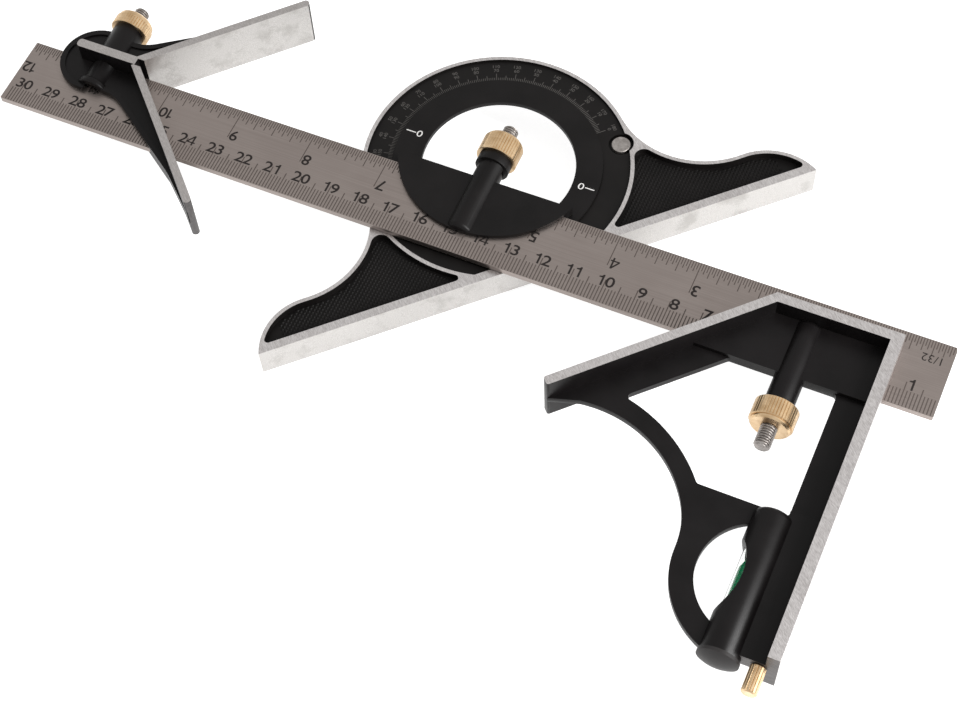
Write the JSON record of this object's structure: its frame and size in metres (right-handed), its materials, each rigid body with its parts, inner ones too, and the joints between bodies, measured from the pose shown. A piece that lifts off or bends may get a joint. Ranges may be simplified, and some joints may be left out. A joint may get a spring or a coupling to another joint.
{
  "type": "combination square",
  "caption": "Steel rule carrying a square head with level and scriber, a turning protractor head and a centre head, each locked by a knurled nut.",
  "frame": {"origin": "centre of the rule's zero-end face", "axes": "+X along the rule, from its far end towards its zero end; +Y across the rule, from the centimetre edge to the inch edge; +Z out of the numbered face"},
  "size_m": [0.3048, 0.1734, 0.0264],
  "materials": {
    "rule_steel": "satin, engraved and blackened scales",
    "black_casting": "satin black enamel with ground bare edges",
    "dial_casting": "satin black enamel, fine crosshatched panels",
    "turret_paint": "satin black",
    "bolt_steel": "turned",
    "nut_brass": "turned and knurled",
    "spring_steel": "drawn wire",
    "vial_glass": "clear",
    "vial_liquid": "clear green",
    "vial_plug": "matt",
    "cap_paint": "worn dark grey",
    "needle_steel": "ground"
  },
  "bodies": {
    "rule": {"rule": "rule_steel"},
    "square_head": {"square_head_body": "black_casting", "square_lock_spring": "spring_steel", "level_vial": "vial_glass", "level_liquid": "vial_liquid", "level_vial_plug": "vial_plug", "level_vial_spacer": "vial_plug", "level_end_cap": "cap_paint", "scriber_bush": "bolt_steel"},
    "square_bolt": {"square_lock_bolt": "bolt_steel"},
    "square_nut": {"square_lock_nut": "nut_brass"},
    "scriber": {"scriber_needle": "needle_steel", "scriber_knob": "nut_brass"},
    "turret": {"protractor_turret": "turret_paint", "protractor_lock_spring": "spring_steel"},
    "turret_bolt": {"protractor_lock_bolt": "bolt_steel"},
    "turret_nut": {"protractor_lock_nut": "nut_brass"},
    "protractor": {"protractor_body": "dial_casting", "turret_clamp_bolt_right": "bolt_steel", "turret_clamp_bolt_left": "bolt_steel"},
    "clamp_washer_right": {"turret_clamp_washer_right": "bolt_steel"},
    "clamp_nut_right": {"turret_clamp_nut_right": "nut_brass"},
    "clamp_washer_left": {"turret_clamp_washer_left": "bolt_steel"},
    "clamp_nut_left": {"turret_clamp_nut_left": "nut_brass"},
    "centre_head": {"centre_head_body": "black_casting", "centre_lock_spring": "spring_steel"},
    "centre_bolt": {"centre_lock_bolt": "bolt_steel"},
    "centre_nut": {"centre_lock_nut": "nut_brass"}
  },
  "joints": [
    {"name": "square_head_slide", "type": "slide", "parent": "rule", "child": "square_head", "axis": [1, 0, 0], "range_m": [-0.035, 0.014]},
    {"name": "square_nut_turn", "type": "hinge", "parent": "square_head", "child": "square_nut", "pos_m": [-0.0404, 0, 0], "axis": [0, 1, 0], "range_deg": [0, 450]},
    {"name": "square_bolt_slide", "type": "slide", "parent": "square_head", "child": "square_bolt", "axis": [0, 1, 0], "range_m": [0, 0.001]},
    {"name": "scriber_pull", "type": "slide", "parent": "square_head", "child": "scriber", "axis": [0, -1, 0], "range_m": [0, 0.048]},
    {"name": "turret_slide", "type": "slide", "parent": "rule", "child": "turret", "axis": [1, 0, 0], "range_m": [-0.02, 0.025]},
    {"name": "turret_nut_turn", "type": "hinge", "parent": "turret", "child": "turret_nut", "pos_m": [-0.1473, 0, 0], "axis": [0, -1, 0], "range_deg": [0, 450]},
    {"name": "turret_bolt_slide", "type": "slide", "parent": "turret", "child": "turret_bolt", "axis": [0, -1, 0], "range_m": [0, 0.001]},
    {"name": "protractor_turn", "type": "hinge", "parent": "turret", "child": "protractor", "pos_m": [-0.1468, 0.024, 0], "axis": [0, 0, 1], "range_deg": [-20, 31]},
    {"name": "clamp_nut_right_turn", "type": "hinge", "parent": "clamp_washer_right", "child": "clamp_nut_right", "pos_m": [-0.11453, 0.04536, 0], "axis": [0, 0, 1], "range_deg": [0, 360]},
    {"name": "clamp_washer_right_slide", "type": "slide", "parent": "protractor", "child": "clamp_washer_right", "axis": [0, 0, -1], "range_m": [0, 0.0007]},
    {"name": "clamp_nut_left_turn", "type": "hinge", "parent": "clamp_washer_left", "child": "clamp_nut_left", "pos_m": [-0.16971, -0.00719, 0], "axis": [0, 0, 1], "range_deg": [0, 360]},
    {"name": "clamp_washer_left_slide", "type": "slide", "parent": "protractor", "child": "clamp_washer_left", "axis": [0, 0, -1], "range_m": [0, 0.0007]},
    {"name": "centre_head_slide", "type": "slide", "parent": "rule", "child": "centre_head", "axis": [1, 0, 0], "range_m": [-0.009, 0.04]},
    {"name": "centre_nut_turn", "type": "hinge", "parent": "centre_head", "child": "centre_nut", "pos_m": [-0.2786, 0, 0], "axis": [0, -1, 0], "range_deg": [0, 450]},
    {"name": "centre_bolt_slide", "type": "slide", "parent": "centre_head", "child": "centre_bolt", "axis": [0, -1, 0], "range_m": [0, 0.001]}
  ],
  "couplings": [
    {"joint": "square_bolt_slide", "follows": "square_nut_turn", "m_per_rad": 0.00012732},
    {"joint": "turret_bolt_slide", "follows": "turret_nut_turn", "m_per_rad": 0.00012732},
    {"joint": "centre_bolt_slide", "follows": "centre_nut_turn", "m_per_rad": 0.00012732},
    {"joint": "clamp_nut_right_turn", "follows": "clamp_washer_right_slide", "rad_per_m": 8976},
    {"joint": "clamp_nut_left_turn", "follows": "clamp_washer_left_slide", "rad_per_m": 8976}
  ]
}
